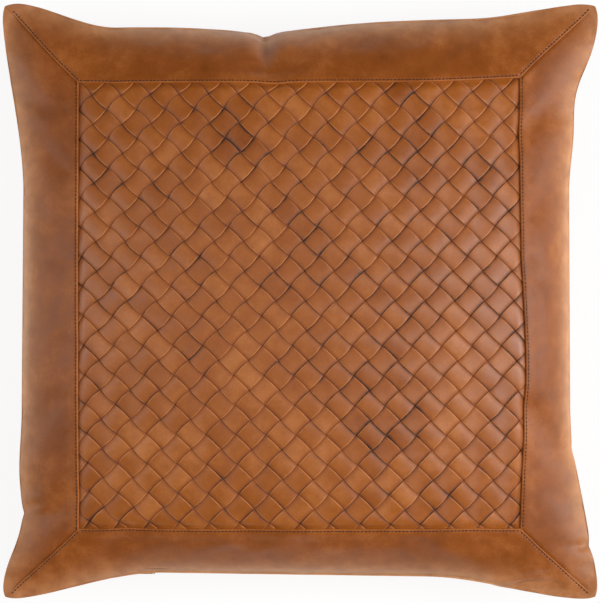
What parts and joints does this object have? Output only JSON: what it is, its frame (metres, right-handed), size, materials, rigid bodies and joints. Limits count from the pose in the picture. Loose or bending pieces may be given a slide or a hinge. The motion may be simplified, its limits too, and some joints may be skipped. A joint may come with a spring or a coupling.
{
  "type": "throw pillow",
  "caption": "Square throw pillow: leather cover with a diagonally woven front inside mitred borders, zip in one seam, soft insert.",
  "frame": {"origin": "middle of the flat patch on the back that the pillow rests on", "axes": "+Z out of the woven front, +Y towards the top edge, +X towards the right edge; the zip is in the -Y seam"},
  "size_m": [0.508, 0.508, 0.132],
  "materials": {
    "border_leather": "satin",
    "strip_leather": "satin",
    "back_leather": "satin",
    "backing_cloth": "matte",
    "insert_cotton": "matte",
    "filling_fibre": "matte",
    "zip_tape": "matte",
    "zip_teeth": "satin",
    "zip_brass": "satin",
    "label_cloth": "matte"
  },
  "bodies": {
    "pillow": {"border_top": "border_leather", "border_left": "border_leather", "border_bottom": "border_leather", "border_right": "border_leather", "weave_strips_rising": "strip_leather", "weave_strips_falling": "strip_leather", "weave_backing": "backing_cloth", "back_panel": "back_leather", "insert_front": "insert_cotton", "insert_back": "insert_cotton", "filling": "filling_fibre", "zip_tape_front": "zip_tape", "zip_tape_back": "zip_tape", "zip_teeth_front": "zip_teeth", "zip_teeth_back": "zip_teeth", "zip_top_stop_front": "zip_brass", "zip_top_stop_back": "zip_brass", "zip_bottom_stop": "zip_brass", "care_label": "label_cloth"},
    "slider": {"zip_slider": "zip_brass"},
    "pull": {"zip_pull": "zip_brass"}
  },
  "joints": [
    {"name": "zip_slide", "type": "slide", "parent": "pillow", "child": "slider", "axis": [1, 0, 0], "range_m": [0, 0.2947]},
    {"name": "pull_swing", "type": "hinge", "parent": "slider", "child": "pull", "pos_m": [-0.14735, -0.2321, 0.06], "axis": [0, 0, -1], "range_deg": [0, 120]}
  ]
}
